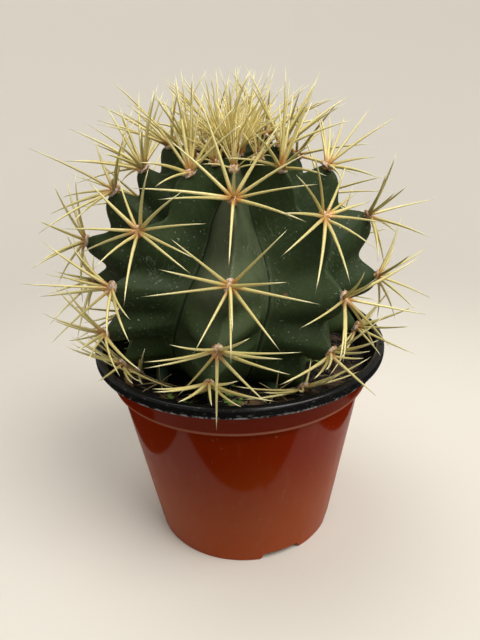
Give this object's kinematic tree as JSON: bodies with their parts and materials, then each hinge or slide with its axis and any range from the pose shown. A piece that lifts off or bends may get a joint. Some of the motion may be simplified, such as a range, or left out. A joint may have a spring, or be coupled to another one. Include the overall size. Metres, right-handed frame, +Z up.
{
  "type": "potted cactus",
  "caption": "Round, deeply ribbed cactus with long straw-yellow spines in a tapered plastic nursery pot filled with soil.",
  "frame": {"origin": "on the pot's axis, at the level of the surface that the pot stands on", "axes": "+Z up, along the pot's axis; -Y towards the front, to which the crown leans; +X to the right seen from the front"},
  "size_m": [0.2022, 0.193, 0.24],
  "materials": {
    "pot_plastic": "satin",
    "potting_mix": "matte",
    "cactus_skin": "satin",
    "young_spines": "satin"
  },
  "bodies": {
    "root": {"pot": "pot_plastic", "soil": "potting_mix", "cactus": "cactus_skin", "crown": "young_spines"}
  },
  "joints": []
}
